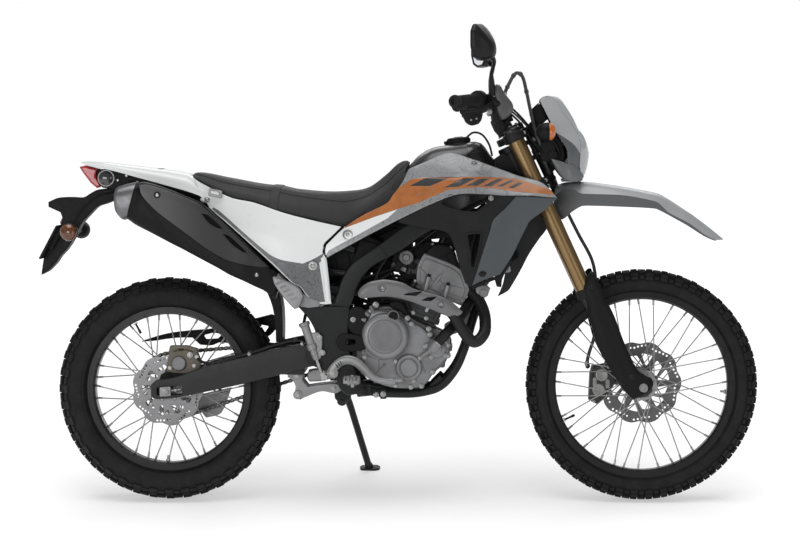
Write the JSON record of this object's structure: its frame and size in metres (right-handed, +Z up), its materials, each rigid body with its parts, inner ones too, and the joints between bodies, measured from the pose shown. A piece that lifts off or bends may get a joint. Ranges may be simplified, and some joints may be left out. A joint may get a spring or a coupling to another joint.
{
  "type": "dual sport motorcycle",
  "caption": "Dual sport motorcycle on knobbly spoked wheels, leaning on its side stand, with a steered fork and free turning wheels.",
  "frame": {"origin": "centre of the bounding box at ground level, with the motorcycle parked on its side stand", "axes": "+X to the front, +Y to the rider's left, +Z up; the machine leans 10 degrees to +Y"},
  "size_m": [2.198, 0.8334, 1.4801],
  "materials": {
    "tyre": "matt black knobbly tread",
    "rim_black": "black anodised",
    "spoke_steel": "zinc plated wire and cast hub",
    "disc_steel": "ground stainless",
    "cast_black": "black casting",
    "fork_gold": "bronze anodised",
    "slider_steel": "hard chrome and dark castings",
    "black_plastic": "textured black moulding",
    "frame_black": "satin charcoal paint",
    "rubber": "moulded rubber",
    "grey_plastic": "light grey moulding",
    "clear_lens": "clear lens",
    "amber_lens": "clear amber",
    "fender_grey": "mid grey moulding",
    "caliper_grey": "anodised casting",
    "swingarm_grey": "satin dark grey",
    "satin_silver": "satin silver",
    "engine_grey": "bead blasted casting",
    "cover_grey": "painted cast cover",
    "header_black": "satin black pipe",
    "silencer_black": "heat resistant matt black",
    "tank_black": "satin black",
    "seat_vinyl": "grained vinyl",
    "white_plastic": "white moulding",
    "slate_plastic": "blue grey moulding",
    "red_lens": "clear red",
    "plate_white": "blank plate",
    "chain_steel": "oiled steel"
  },
  "bodies": {
    "root": {"frame_head": "frame_black", "frame_spars": "frame_black", "pivot_plates": "frame_black", "engine_cradle": "frame_black", "subframe": "frame_black", "swingarm": "swingarm_grey", "rear_shock": "satin_silver", "crankcase": "engine_grey", "cylinder_and_head": "engine_grey", "engine_covers": "cover_grey", "airbox": "black_plastic", "exhaust_header": "header_black", "silencer": "silencer_black", "silencer_end_cap": "satin_silver", "heat_shield": "satin_silver", "radiator": "black_plastic", "fuel_tank": "tank_black", "fuel_cap": "black_plastic", "seat": "seat_vinyl", "side_panels": "white_plastic", "radiator_shrouds": "grey_plastic", "shroud_lower": "slate_plastic", "shroud_inners": "black_plastic", "tail_fender": "white_plastic", "tail_light": "red_lens", "rear_mudguard": "black_plastic", "number_plate": "plate_white", "rear_indicators": "amber_lens", "chain": "chain_steel", "chain_guard": "black_plastic", "rear_brake": "caliper_grey", "foot_controls_and_pegs": "satin_silver"},
    "steering": {"lower_yoke": "cast_black", "top_yoke": "cast_black", "fork_tubes": "fork_gold", "fork_sliders": "slider_steel", "fork_guards": "black_plastic", "handlebar": "frame_black", "grips": "rubber", "bar_controls": "black_plastic", "mirrors": "black_plastic", "instrument_panel": "black_plastic", "headlight_cowl": "grey_plastic", "headlight_lens": "clear_lens", "front_indicators": "amber_lens", "front_fender": "fender_grey", "front_caliper": "caliper_grey", "front_brake_hose": "rubber", "control_cables": "rubber"},
    "front_wheel": {"front_tyre": "tyre", "front_rim": "rim_black", "front_hub_and_spokes": "spoke_steel", "front_brake_disc": "disc_steel"},
    "rear_wheel": {"rear_tyre": "tyre", "rear_rim": "rim_black", "rear_hub_and_spokes": "spoke_steel", "rear_brake_disc": "disc_steel", "rear_sprocket": "spoke_steel"},
    "side_stand": {"side_stand": "frame_black"}
  },
  "joints": [
    {"name": "steering", "type": "hinge", "parent": "root", "child": "steering", "pos_m": [0.36723, -0.03949, 1.00378], "axis": [-0.4147, 0.158, 0.8961], "range_deg": [-42, 42]},
    {"name": "front_wheel_spin", "type": "hinge", "parent": "steering", "child": "front_wheel", "pos_m": [0.744, -0.15471, 0.35037], "axis": [0, 0.9848, -0.1736], "continuous": true},
    {"name": "rear_wheel_spin", "type": "hinge", "parent": "root", "child": "rear_wheel", "pos_m": [-0.706, -0.15679, 0.33855], "axis": [0, 0.9848, -0.1736], "continuous": true},
    {"name": "side_stand_fold", "type": "hinge", "parent": "root", "child": "side_stand", "pos_m": [-0.176, -0.00553, 0.28649], "axis": [0.144, 0.8523, 0.5029], "range_deg": [0, 100]}
  ]
}
